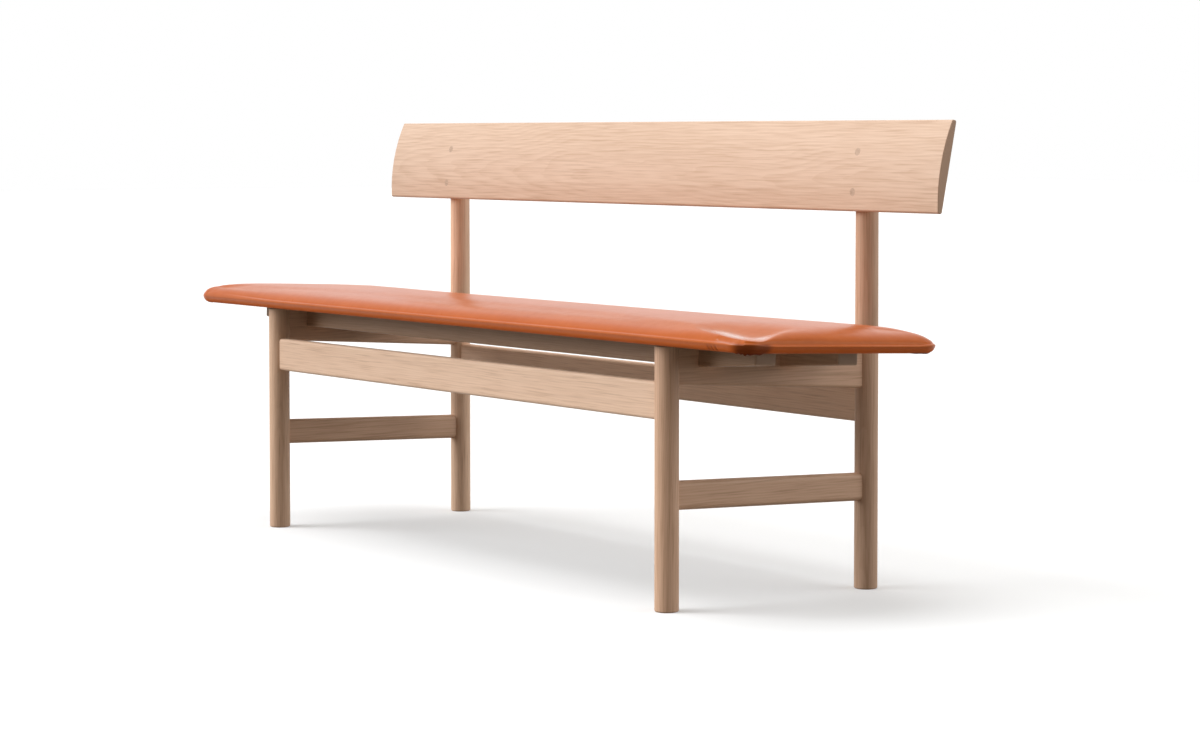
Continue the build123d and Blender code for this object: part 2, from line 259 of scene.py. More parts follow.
@dataclass(frozen=True)
class Oak(Finish):
    """Pale oiled oak, sawn from a trunk whose heart lies beside the piece.

    The growth rings are circles round the heart: the distance from it, over the ring's width, counts the
    rings, and its fraction gives the early and late wood. The heart drifts along the grain, so a face that
    is nearly parallel to it shows pointed arches.
    """

    grain: Grain
    heart: tuple[float, float]
    drift: tuple[float, float] = (0.02, -0.015)
    ring: float = 0.0032
    figure: float = 0.5
    wander: float = 0.012
    seed: float = 0.0
    pale: Colour = (0.72, 0.47, 0.32)
    tan: Colour = (0.56, 0.33, 0.205)
    streak: Colour = (0.36, 0.20, 0.115)
    streaks: float = 0.25
    flecks: float = 0.34
    end: float = 0.0
    end_tone: Colour = (0.47, 0.30, 0.20)
    end_edge: Levels = (0.0012, 0.0003)
    roughness: float = 0.55
    ripple: float = 0.35
    ragged_rings: float = 1.1
    uneven_rings: float = 2.5
    late_start: Levels = (0.25, 0.9)
    late_end: Levels = (0.93, 1.0)
    early_end: Levels = (0.0, 0.3)
    vessel_levels: Levels = (0.56, 0.68)
    late_vessels: float = 0.25
    broad_levels: Levels = (0.3, 0.75)
    line_levels: Levels = (0.58, 0.74)
    hair_levels: Levels = (0.34, 0.66)
    fleck_levels: Levels = (0.53, 0.70)
    patch_levels: Levels = (0.3, 0.7)
    patch_least: float = 0.35

    def look(self, shader: Shader) -> dict[str, Any]:
        """Grow the rings, with their vessels, streaks and flecks.

        Args:
            shader: the material's nodes.

        Returns:
            The Principled shader's sockets.
        """
        x, y, z = shader.split(shader.place())
        along, side, up = {
            Grain.ALONG: (x, y, z),
            Grain.ACROSS: (y, x, z),
            Grain.UPRIGHT: (z, x, y),
        }[self.grain]
        point = shader.join(along, side, up)
        wave = {kind: kind.read(shader, point, self.seed) for kind in Wave}
        bend_side = wave[Wave.BEND_SIDE] - 0.5
        bend_up = wave[Wave.BEND_UP] + wave[Wave.RIPPLE] * self.ripple - (0.5 + self.ripple / 2)
        from_side = side - self.heart[0] - along * self.drift[0] + bend_side * (2 * self.wander)
        from_up = up - self.heart[1] - along * self.drift[1] + bend_up * (2 * self.wander)
        distance = (from_side * from_side + from_up * from_up).root()
        ragged = wave[Wave.RAGGED] * self.ragged_rings
        turn = (distance / self.ring + ragged + wave[Wave.RING_WIDTH] * self.uneven_rings).fraction()
        late = turn.step(*self.late_start) * turn.step(*self.late_end, 1.0, 0.0)
        early = turn.step(*self.early_end, 1.0, 0.0)
        fibre, hair = wave[Wave.FIBRE], wave[Wave.HAIR]
        vessels = fibre.step(*self.vessel_levels) * (early * (1 - self.late_vessels) + self.late_vessels)
        broad = wave[Wave.BROAD].step(*self.broad_levels)
        warm = late * (0.5 * self.figure) + broad * 0.25 + hair.step(*self.hair_levels) * 0.4 - 0.06
        colour = shader.blend(warm, self.pale, self.tan)
        colour = shader.blend(vessels * (0.55 * self.figure), colour, self.tan)
        line = wave[Wave.LINE].step(*self.line_levels)
        colour = shader.blend(line * self.streaks, colour, self.streak)
        patch = wave[Wave.PATCH].step(*self.patch_levels, self.patch_least)
        fleck = hair.step(*self.fleck_levels) * patch
        colour = shader.blend(fleck * self.flecks, colour, self.streak)
        if self.end:
            edge = along.away().step(*(self.end - inner for inner in self.end_edge))
            colour = shader.blend(edge, colour, self.end_tone)
        height = vessels * -1.0 + late * 0.25 + fibre * 0.3
        return {
            "Base Color": colour,
            "Roughness": vessels * 0.12 + self.roughness,
            "Normal": shader.bump(height, 0.00025, 0.35),
            "Specular IOR Level": 0.4,
        }


@dataclass(frozen=True)
class EndGrain(Finish):
    """The end of an oak plug, set in the board: darker, with fine open pores in rows."""

    name: str = "oak plug"
    pale: Colour = (0.565, 0.40, 0.295)
    dark: Colour = (0.40, 0.27, 0.185)
    pore: float = 900.0
    row: tuple[float, float, float] = (90.0, 90.0, 420.0)

    def look(self, shader: Shader) -> dict[str, Any]:
        """Prick the pores and shade their rows.

        Args:
            shader: the material's nodes.

        Returns:
            The Principled shader's sockets.
        """
        point = shader.place()
        pores = shader.noise(point, self.pore, 3.0, 2.0)
        rows = shader.noise(point, self.row, 9.0, 1.0)
        share = pores.step(0.45, 0.62) * 0.5 + rows.step(0.4, 0.65) * 0.4
        return {
            "Base Color": shader.blend(share, self.pale, self.dark),
            "Roughness": pores * 0.15 + 0.55,
            "Normal": shader.bump(pores, 0.0002, 0.3),
        }


@dataclass(frozen=True, kw_only=True)
class Leather(Finish):
    """Smooth cognac leather with a faint pebbled skin and soft changes of tone.

    It is duller on the stretched rim, and paler there: partly painted light that brightens the lower rim.
    Where the pad's painted fold shade attribute is 1 it is deep brown, painted shade in the folds, creases
    and under the corners. It shines where "shine" is 1. The height over the pad's underside follows from a
    point on it and the angle that it leans back.
    """

    origin: tuple[float, float, float]
    slope: float
    name: str = "cognac leather"
    tan: Colour = (0.485, 0.108, 0.017)
    deep: Colour = (0.41, 0.083, 0.011)
    # Partly painted light: this paler tone shows the stretched hide and also brightens the lower rim.
    stretched: Colour = (0.68, 0.145, 0.022)
    # Painted shade: the deep brown that darkens the folds, the creases and the corners' undersides.
    painted_fold_shade_colour: Colour = (0.11, 0.016, 0.002)
    glint: Colour = (1.0, 0.55, 0.30)
    roughness: float = 0.24
    dull: float = 0.42
    pebble: float = 0.0011
    rim: Levels = (0.003, 0.010)
    cloud: float = 7.0
    mottle: float = 70.0
    wrinkle: float = 240.0

    def look(self, shader: Shader) -> dict[str, Any]:
        """Tan the hide.

        Args:
            shader: the material's nodes.

        Returns:
            The Principled shader's sockets.
        """
        point = shader.place()
        _, y, z = shader.split(point)
        height = (z - self.origin[2]) * math.cos(self.slope) + (y - self.origin[1]) * math.sin(self.slope)
        rim = 1 - height.step(*self.rim)
        # Painted shade mask: where it is 1 the leather is painted deep brown as shade.
        painted_fold_shade = shader.node("ShaderNodeAttribute", {"attribute_name": "painted_fold_shade"}, {}, "Fac")
        shine = shader.node("ShaderNodeAttribute", {"attribute_name": "shine"}, {}, "Fac")
        cloud = shader.noise(point, self.cloud, 5.0, 3.0)
        mottle = shader.noise(point, self.mottle, 15.0, 3.0)
        wrinkle = shader.noise(point, self.wrinkle, 25.0, 2.0)
        pebbles = {"Vector": point, "Scale": 1 / self.pebble, "Smoothness": 0.6}
        cells = shader.node("ShaderNodeTexVoronoi", {"feature": "SMOOTH_F1"}, pebbles)
        share = cloud.step(0.3, 0.75) * 0.45 + mottle.step(0.35, 0.7) * 0.3
        colour = shader.blend(share, self.tan, self.deep)
        # Partly painted light: the rim below the ledge is blended to the paler tone.
        colour = shader.blend(rim, colour, self.stretched)
        roughness = mottle * 0.08 + cells * 0.05 + self.roughness
        return {
            # Painted shade: the folds, creases and corner undersides are blended to deep brown.
            "Base Color": shader.blend(painted_fold_shade, colour, self.painted_fold_shade_colour),
            "Roughness": roughness + rim * self.dull + painted_fold_shade * (0.4 * self.dull),
            "Normal": shader.bump(cells * 0.8 + wrinkle * 0.5, 0.00008, 0.2),
            "Specular IOR Level": 0.28,
            "Specular Tint": self.glint,
            "Coat Weight": shine,
            "Coat Roughness": 0.16,
        }


@dataclass(frozen=True)
class Cloth(Finish):
    """Black lining cloth with a plain weave."""

    name: str = "black lining"
    thread: float = 0.0007
    dark: Colour = (0.012, 0.012, 0.013)
    worn: Colour = (0.035, 0.034, 0.034)

    def look(self, shader: Shader) -> dict[str, Any]:
        """Weave the cloth: two crossed waves a thread apart.

        Args:
            shader: the material's nodes.

        Returns:
            The Principled shader's sockets.
        """
        point = shader.place()
        x, y, _ = shader.split(point)
        warp, weft = (((way / self.thread).fraction() - 0.5).away() * 2.0 for way in (x, y))
        fluff = shader.noise(point, 300.0, 2.0, 3.0)
        height = warp * weft
        return {
            "Base Color": shader.blend(height * 0.7 + fluff * 0.3, self.dark, self.worn),
            "Roughness": fluff * 0.1 + 0.85,
            "Normal": shader.bump(height, 0.0002, 0.5),
        }


@dataclass(frozen=True)
class Steel(Finish):
    """Zinc-plated screw steel with a slightly cloudy skin."""

    bright: Colour = (0.62, 0.62, 0.60)
    dull: Colour = (0.42, 0.41, 0.38)

    def look(self, shader: Shader) -> dict[str, Any]:
        """Cloud the plating.

        Args:
            shader: the material's nodes.

        Returns:
            The Principled shader's sockets.
        """
        cloud = shader.noise(shader.place(), 400.0, 4.0, 3.0)
        return {
            "Base Color": shader.blend(cloud, self.bright, self.dull),
            "Metallic": 1.0,
            "Roughness": cloud * 0.2 + 0.25,
        }


@dataclass(frozen=True)
class Plywood(Finish):
    """Birch plywood, seen only where the pad is cut open: thin plies of two tones."""

    name: str = "plywood"
    ply: float = 0.0015
    pale: Colour = (0.66, 0.50, 0.33)
    dark: Colour = (0.45, 0.31, 0.18)

    def look(self, shader: Shader) -> dict[str, Any]:
        """Stack the plies.

        Args:
            shader: the material's nodes.

        Returns:
            The Principled shader's sockets.
        """
        point = shader.place()
        _, _, z = shader.split(point)
        plies = (z / (2 * self.ply)).fraction().step(0.45, 0.55)
        fibre = shader.noise(point, (12.0, 500.0, 500.0), 8.0, 2.0)
        return {
            "Base Color": shader.blend(plies * 0.6 + fibre * 0.4, self.pale, self.dark),
            "Roughness": fibre * 0.1 + 0.6,
        }


def dress(node: str, finish: Finish) -> None:
    """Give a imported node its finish.

    Args:
        node: the node's name.
        finish: what it is made of.
    """
    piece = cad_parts[node]
    piece.data.materials.clear()
    piece.data.materials.append(finish.material())
    log.info("%s: %s", node, finish.name)


@dataclass
class OakFrame:
    """Legs, posts, rails, stretchers and battens, which stay as packed and get their wood."""

    half_pitch: float = 0.5725
    front_y: float = -0.17825
    rear_y: float = 0.20325
    batten_half_length: float = 0.7135
    batten_end: Colour = (0.42, 0.27, 0.18)
    side_heart: float = 0.03
    rail_heart: float = 0.30
    stretcher_heart: float = 0.12

    def finishes(self) -> dict[str, Oak]:
        """The wood of each piece.

        Returns:
            Finish by node name. The hearts lie beside the pieces and differ, so no two pieces match.
        """
        left, right, front, rear = -self.half_pitch, self.half_pitch, self.front_y, self.rear_y
        end = {"end": self.batten_half_length, "end_tone": self.batten_end}
        woods = {
            # Painted light: slightly paler tones than the other legs, brightening its lit side.
            "front_leg_left": Oak(
                "oak front leg left with painted light", Grain.UPRIGHT, (left - 0.05, front + 0.03), seed=2.0,
                pale=(0.74, 0.50, 0.345), tan=(0.58, 0.355, 0.225),
            ),
            "front_leg_right": Oak(
                "oak front leg right", Grain.UPRIGHT, (right + 0.045, front + 0.04), seed=4.0
            ),
            # Painted light: paler tones than the other posts, standing in for more light on it.
            "rear_post_left": Oak(
                "oak rear post left with painted light", Grain.UPRIGHT, (left + 0.01, rear + 0.06), seed=6.0,
                pale=(0.85, 0.585, 0.41), tan=(0.70, 0.44, 0.285),
            ),
            # Painted shade: darker tones than the other posts, standing in for less light on it; its heavier
            # streaks are grain.
            "rear_post_right": Oak(
                "oak rear post right with painted shade", Grain.UPRIGHT, (right - 0.03, rear + 0.05), seed=9.0,
                streaks=0.4, pale=(0.63, 0.41, 0.28), tan=(0.47, 0.28, 0.175),
            ),
            "front_rail": Oak(
                "oak front rail", Grain.ALONG, (front + 0.02, 0.36), seed=12.0,
                streaks=0.1, pale=(0.82, 0.585, 0.43), tan=(0.68, 0.45, 0.305),
            ),
            # Painted light: paler tones, lifting the rail out of the shade under the seat.
            "rear_rail": Oak(
                "oak rear rail with painted light", Grain.ALONG, (rear + 0.04, 0.22), seed=15.0,
                streaks=0.15, pale=(0.82, 0.56, 0.395), tan=(0.67, 0.42, 0.275),
            ),
            # Painted shade: much darker tones than the rear batten, for the shade under the pad's front
            # edge.
            "seat_batten_front": Oak(
                "oak front batten with painted shade", Grain.ALONG, (-0.14, 0.33), seed=18.0,
                streaks=0.4, pale=(0.45, 0.28, 0.175), tan=(0.34, 0.195, 0.11), **end,
            ),
            "seat_batten_rear": Oak("oak rear batten", Grain.ALONG, (0.08, 0.33), seed=21.0, **end),
        }
        for side, x, seed in (("left", left, 0.0), ("right", right, 3.0)):
            heart = x - self.side_heart
            woods[f"side_rail_{side}"] = Oak(
                f"oak side rail {side}", Grain.ACROSS, (heart, self.rail_heart), seed=seed + 24.0
            )
            woods[f"side_stretcher_{side}"] = Oak(
                f"oak stretcher {side}", Grain.ACROSS, (heart, self.stretcher_heart), seed=seed + 30.0
            )
        return woods

    def build(self) -> None:
        """Dress every piece of the frame."""
        for node, finish in self.finishes().items():
            dress(node, finish)


@dataclass
class BackRest:
    """The curved back board with its plugs and the screws under them."""

    wood: Oak = Oak(
        "oak back board",
        Grain.ALONG,
        (0.225, 0.625),
        drift=(-0.028, 0.012),
        ring=0.0044,
        wander=0.018,
        seed=41.0,
        streaks=0.12,
        flecks=0.24,
        end=0.7655,
        pale=(0.72, 0.525, 0.395),
        tan=(0.56, 0.37, 0.245),
    )

    def build(self) -> None:
        """Dress the board, plugs and screws."""
        dress("back_board", self.wood)
        dress("back_board_plugs", EndGrain())
        dress("back_board_screws", Steel("board screw steel"))


# Height of the pad's widest place over its underside
NOSE = 0.0112


def smooth(value: np.ndarray, low: float, high: float) -> np.ndarray:
    """Smooth step: three times the square less twice the cube of the share between two levels."""
    share = np.clip((value - low) / (high - low), 0.0, 1.0)
    return share * share * (3 - 2 * share)


def bell(distance: np.ndarray, width: float) -> np.ndarray:
    """Bell curve: e to the power of less the square of the distance over the width."""
    return np.exp(-((distance / width) ** 2))


def lower(first: np.ndarray, second: np.ndarray, soft: Union[float, np.ndarray]) -> np.ndarray:
    """The lower height, softly: half of the sum less the root of the gap's and the softness' squares."""
    return 0.5 * (first + second - np.sqrt((first - second) ** 2 + soft**2))


def vertices(mesh: bpy.types.Mesh) -> np.ndarray:
    """The mesh's vertices as an array, by three."""
    found = np.empty(len(mesh.vertices) * 3, np.float32)
    mesh.vertices.foreach_get("co", found)
    return found.reshape(-1, 3).astype(float)


def settle(piece: bpy.types.Object) -> None:
    """Replace a piece's mesh by what its modifiers make of it, and remove them.

    Args:
        piece: the object.
    """
    graph = bpy.context.evaluated_depsgraph_get()
    made = bpy.data.meshes.new_from_object(piece.evaluated_get(graph))
    old = piece.data
    piece.modifiers.clear()
    piece.data = made
    bpy.data.meshes.remove(old)
    made.name = piece.name


@dataclass(frozen=True)
class Spots:
    """Where points of the pad lie: distances in its plan, their ring's inset and their height."""

    from_left: np.ndarray
    from_right: np.ndarray
    from_front: np.ndarray
    to_end: np.ndarray
    to_side: np.ndarray
    front_right: np.ndarray
    inset: np.ndarray
    level: np.ndarray


class Form:
    """A part of the pad's form, worked into the heights of its rings."""

    def shaped(self, at: Spots) -> np.ndarray:
        """The new heights of the points."""
        raise NotImplementedError


@dataclass(frozen=True)
class LeftShoulder(Form):
    """The left end, where the ledge fills out to a full round shoulder: a quarter of an ellipse."""

    fade: Levels = (0.04, 0.30)
    inset: float = 0.0205
    height: float = 0.0177

    def shaped(self, at: Spots) -> np.ndarray:
        """Raise the ledge, by a share of one less a smooth step of the distance from the end.

        Args:
            at: where the points lie.

        Returns:
            The new heights.
        """
        away = np.clip(1 - at.inset / self.inset, 0.0, 1.0)
        shoulder = np.maximum(at.level, NOSE + self.height * np.sqrt(1 - away**2))
        rounded = np.where((at.level > NOSE) & (at.inset < self.inset), shoulder, at.level)
        return at.level + (1 - smooth(at.from_left, *self.fade)) * (rounded - at.level)


@dataclass(frozen=True)
class FoldedCorner(Form):
    """The front right corner, where the dome is pulled down to a shelf behind a roll.

    The shelf climbs to the left with the distance from the end and with its square, and falls to the rear.
    Its rear edge runs away from the front near the end, and comes nearer to it further left. Behind it a
    wall rises evenly, steeper at the end. The roll before it is a bell curve of the inset, higher to the
    left. Its foot stands on the ledge, which sinks at the corner, and lets go further from the corner.
    """

    start: float = 0.0174
    climb: float = 0.045
    curve: float = 0.40
    fall: float = 0.050
    near_edge: Levels = (0.052, 0.65)
    far_edge: Levels = (0.068, -0.10)
    edge_join: float = 0.010
    wall: Levels = (0.33, 0.45)
    wall_fade: Levels = (0.008, 0.050)
    wall_foot: float = 0.014
    roll: Levels = (0.0002, 0.040)
    roll_inset: float = 0.0095
    roll_width: float = 0.0075
    roll_fade: Levels = (0.020, 0.050)
    joins: Levels = (0.0012, 0.0060)
    join_rise: Levels = (-0.010, 0.030)
    ledge: float = 0.0143
    ledge_drop: float = 0.0024
    drop_fade: Levels = (0.010, 0.062)
    ledge_inset: float = 0.001
    ledge_climb: float = 0.28
    foot_inset: float = 0.0058
    foot_climb: float = 1.4
    free_end: Levels = (0.055, 0.100)
    free_front: Levels = (0.010, 0.030)
    free_height: float = 0.03
    foot_join: float = 0.0004
    reach: float = 0.5

    def shaped(self, at: Spots) -> np.ndarray:
        """Pull the dome down, above the rim only: the lower of dome, shelf and foot counts.

        Args:
            at: where the points lie.

        Returns:
            The new heights.
        """
        end, front = at.from_right, at.from_front
        edges = (start + slope * end for start, slope in (self.near_edge, self.far_edge))
        beyond = front - lower(*edges, self.edge_join)
        steep = self.wall[0] + self.wall[1] * (1 - smooth(end, *self.wall_fade))
        wall = steep * 0.5 * (beyond + np.sqrt(beyond**2 + self.wall_foot**2))
        floor = self.start + self.climb * end + self.curve * end**2 - self.fall * front
        roll = (self.roll[0] + self.roll[1] * end) * bell(at.inset - self.roll_inset, self.roll_width)
        shelf = floor + wall + roll * (1 - smooth(front, *self.roll_fade))
        dome = lower(at.level, shelf, self.joins[0] + self.joins[1] * smooth(beyond, *self.join_rise))
        drop = self.ledge_drop * (1 - smooth(end, *self.drop_fade))
        foot = self.ledge - drop + self.ledge_climb * (at.inset - self.ledge_inset)
        foot = foot + self.foot_climb * np.maximum(at.inset - self.foot_inset, 0.0)
        free = smooth(end, *self.free_end) + smooth(front, *self.free_front)
        drawn = lower(dome, foot + self.free_height * free, self.foot_join)
        near = (at.level > NOSE) & (end < self.reach)
        return np.where(near, np.maximum(drawn, np.minimum(at.level, NOSE)), at.level)


@dataclass(frozen=True)
class EndLedge(Form):
    """The ledge at both ends, a little lower between their corners than at the front."""

    drop: float = 0.0020
    height: float = 0.0145
    width: float = 0.0035
    fade: Levels = (0.007, 0.018)
    corner_fade: Levels = (0.020, 0.050)

    def shaped(self, at: Spots) -> np.ndarray:
        """Lower the ledge by a bell curve of the height."""
        share = (1 - smooth(at.to_end, *self.fade)) * smooth(at.to_side, *self.corner_fade)
        return at.level - self.drop * bell(at.level - self.height, self.width) * share


@dataclass(frozen=True)
class Pleats(Form):
    """The gathered leather under each corner, deepest at the front right.

    Along the rim, measured by how much further from the long side than from the end a point lies, the
    pleats are a row of uneven humps, the square of a sine; inwards they fade in behind the rim and out
    again before the lining.
    """

    depth: float = 0.0012
    folded_depth: float = 0.0040
    width: float = 0.0150
    start: Levels = (-0.020, -0.008)
    end: Levels = (0.030, 0.042)
    rim: Levels = (0.0065, 0.0105)
    lining: Levels = (0.0145, 0.0180)
    flat: float = 0.4
    unevenness: Levels = (1.5, 130.0)
    swelling: Levels = (0.3, 210.0)
    top: float = 0.006

    def shaped(self, at: Spots) -> np.ndarray:
        """Hang the pleats.

        Args:
            at: where the points lie.

        Returns:
            The new heights.
        """
        place = at.to_side - at.to_end
        inside = smooth(place, *self.start) * (1 - smooth(place, *self.end))
        uneven = self.unevenness[0] * np.sin(place * self.unevenness[1])
        humps = self.flat + (1 - self.flat) * np.sin(place * math.pi / self.width + uneven) ** 2
        humps = humps * (1 - self.swelling[0] + self.swelling[0] * np.sin(place * self.swelling[1]))
        band = smooth(at.inset, *self.rim) * (1 - smooth(at.inset, *self.lining))
        depth = np.where(at.front_right, self.folded_depth, self.depth)
        return at.level - depth * inside * humps * band * (at.level < self.top)


@dataclass(frozen=True)
class Creases:
    """Short upright creases in the front rim beside the folded corner, at distances from the right end;
    painted shade darkens them.
    """

    places: tuple[float, ...] = (0.0775, 0.0700, 0.0610)
    depth: float = 0.0010
    width: float = 0.0020
    foot: Levels = (0.0, 0.003)
    top: Levels = (0.008, 0.0125)
    reach: float = 0.0189
    # Painted shade in the creases: how wide it is, and the heights where it fades in and out.
    shade_width: float = 0.0022
    shade_foot: Levels = (0.0004, 0.0025)
    shade_top: Levels = (0.0065, 0.0105)

    def bells(self, at: Spots, width: float) -> np.ndarray:
        """The sum of a bell curve of this width at each crease."""
        return sum(bell(at.from_right - place, width) for place in self.places)

    def pressed(self, at: Spots) -> np.ndarray:
        """How far each point is pressed to the rear; it fades towards the rim's top and bottom."""
        band = smooth(at.level, *self.foot) * (1 - smooth(at.level, *self.top))
        return self.depth * self.bells(at, self.width) * band * (at.from_front < self.reach)

    def dark(self, at: Spots) -> np.ndarray:
        """How much painted shade darkens the creases, from 0 to 1."""
        band = smooth(at.level, *self.shade_foot) * (1 - smooth(at.level, *self.shade_top))
        return self.bells(at, self.shade_width) * band


@dataclass(frozen=True)
class PaintedFoldShade:
    """Painted shade where the leather is folded: a round dark patch about each corner's middle.

    On the underside the patch is full at every corner, and on the rim only at the front right one.
    """

    middle: Levels = (0.002, 0.026)
    squash: float = 0.95
    under_fade: Levels = (0.020, 0.045)
    under_top: Levels = (0.0002, 0.0020)
    rim_fade: Levels = (0.021, 0.034)
    rim_top: Levels = (0.0118, 0.0150)
    rim_shade_share: float = 0.8
    crease_shade_share: float = 0.7

    def tone(self, at: Spots, creases: Creases) -> np.ndarray:
        """The painted fold shade attribute, from smooth steps of the distance and height.

        Args:
            at: where the points lie.
            creases: the creases, whose painted shade is added too.

        Returns:
            Values from 0 to 1.
        """
        far = np.hypot(at.to_end - self.middle[0], (at.to_side - self.middle[1]) * self.squash)
        # Painted shade under every corner, where the pleats hang in shade.
        under = (1 - smooth(far, *self.under_fade)) * (1 - smooth(at.level, *self.under_top))
        # Painted shade on the front right corner's rim.
        rim = (1 - smooth(far, *self.rim_fade)) * (1 - smooth(at.level, *self.rim_top)) * self.rim_shade_share
        # Painted shade: the darkest of the rim patch, the underside patch and the creases' shade.
        folded = np.maximum(np.maximum(rim, under), self.crease_shade_share * creases.dark(at))
        return np.where(at.front_right, folded, under)


@dataclass(frozen=True)
class TautHide:
    """Where the leather is drawn taut and shines: along the shelf's valley and on the ledge at its end.

    The valley's line has its points as distances from the right end and from the front.
    """

    line: tuple[Levels, ...] = (
        (0.100, 0.047), (0.078, 0.045), (0.042, 0.040), (0.030, 0.048), (0.033, 0.060), (0.036, 0.066),
    )
    width: float = 0.014
    foot: Levels = (0.0140, 0.0165)
    ledge_start: Levels = (0.012, 0.024)
    ledge_end: Levels = (0.048, 0.072)
    ledge_front: float = 0.0040
    ledge_width: float = 0.0030
    ledge_foot: Levels = (0.0112, 0.0122)
    ledge_top: float = 0.0175

    def shine(self, at: Spots) -> np.ndarray:
        """The attribute "shine".

        In the valley it is a bell curve of the distance from the line; on the ledge a bell curve of the
        distance from the front, eased in and out along the edge.

        Args:
            at: where the points lie.

        Returns:
            Values from 0 to 1.
        """
        place = np.stack([at.from_right, at.from_front], axis=-1)
        path = np.array(self.line)
        far = np.full(at.level.shape, np.inf)
        for start, way in zip(path[:-1], np.diff(path, axis=0)):
            share = np.clip(((place - start) @ way) / (way @ way), 0.0, 1.0)
            far = np.minimum(far, np.linalg.norm(place - start - share[..., None] * way, axis=-1))
        valley = bell(far, self.width) * smooth(at.level, *self.foot)
        along = smooth(at.from_right, *self.ledge_start) * (1 - smooth(at.from_right, *self.ledge_end))
        ledge = bell(at.from_front - self.ledge_front, self.ledge_width) * along
        return np.maximum(valley, ledge * smooth(at.level, *self.ledge_foot) * (at.level < self.ledge_top))


@dataclass(frozen=True)
class Stuffing:
    """Foam under the hide: it blows a closed form up as cloth, and a capped share of the move is kept."""

    voxel: float = 0.006
    cap: float = 0.0018
    frames: int = 20
    settings: tuple[tuple[str, float], ...] = (
        ("quality", 6), ("mass", 0.35), ("tension_stiffness", 18), ("compression_stiffness", 18),
        ("shear_stiffness", 8), ("bending_stiffness", 3.0), ("use_pressure", True),
        ("uniform_pressure_force", 3.0),
    )

    def blown(self, even: bpy.types.Object, held: np.ndarray) -> np.ndarray:
        """Blow a piece up as cloth, frame by frame, without changing it.

        Args:
            even: the object.
            held: numbers of the vertices that stay.

        Returns:
            Its vertices after the last frame.
        """
        even.vertex_groups.new(name="held").add(held.tolist(), 1.0, "REPLACE")
        cloth = even.modifiers.new("stuffing", "CLOTH")
        for name, value in self.settings:
            setattr(cloth.settings, name, value)
        cloth.settings.vertex_group_mass = "held"
        cloth.settings.effector_weights.gravity = 0
        cloth.collision_settings.use_self_collision = False
        cloth.point_cache.frame_start = 1
        cloth.point_cache.frame_end = self.frames
        for step in range(1, self.frames + 1):
            bpy.context.scene.frame_set(step)
        graph = bpy.context.evaluated_depsgraph_get()
        made = bpy.data.meshes.new_from_object(even.evaluated_get(graph))
        found = vertices(made)
        bpy.data.meshes.remove(made)
        even.modifiers.clear()
        bpy.context.scene.frame_set(1)
        return found

    def fill(self, piece: bpy.types.Object, hold: Hold) -> None:
        """Stuff a piece: a copy of it with an even mesh is blown up, and the piece follows that.

        A point's move is cut to the cap: its direction times the cap times the hyperbolic tangent of its
        length over the cap, so small moves stay as they are.

        Args:
            piece: the object.
            hold: gives which points stay as cloth, and what share of its move each point keeps.
        """
        even = piece.copy()
        even.data = piece.data.copy()
        bpy.context.scene.collection.objects.link(even)
        remesh = even.modifiers.new("even mesh", "REMESH")
        remesh.mode = "VOXEL"
        remesh.voxel_size = self.voxel
        remesh.adaptivity = 0.0
        settle(even)
        follow = piece.modifiers.new("follow", "SURFACE_DEFORM")
        follow.target = even
        with bpy.context.temp_override(object=piece, active_object=piece):
            bpy.ops.object.surfacedeform_bind(modifier=follow.name)
        rest = vertices(even.data)
        still, share = hold(rest)
        move = (self.blown(even, np.nonzero(still)[0]) - rest) * share[:, None]
        far = np.linalg.norm(move, axis=1, keepdims=True)
        kept = rest + move / np.maximum(far, 1e-9) * (self.cap * np.tanh(far / self.cap))
        even.data.vertices.foreach_set("co", kept.astype(np.float32).ravel())
        even.data.update()
        settle(piece)
        bpy.data.objects.remove(even)
        log.info("%s: cloth moved %.1f mm", piece.name, 1000 * float(far.max()))


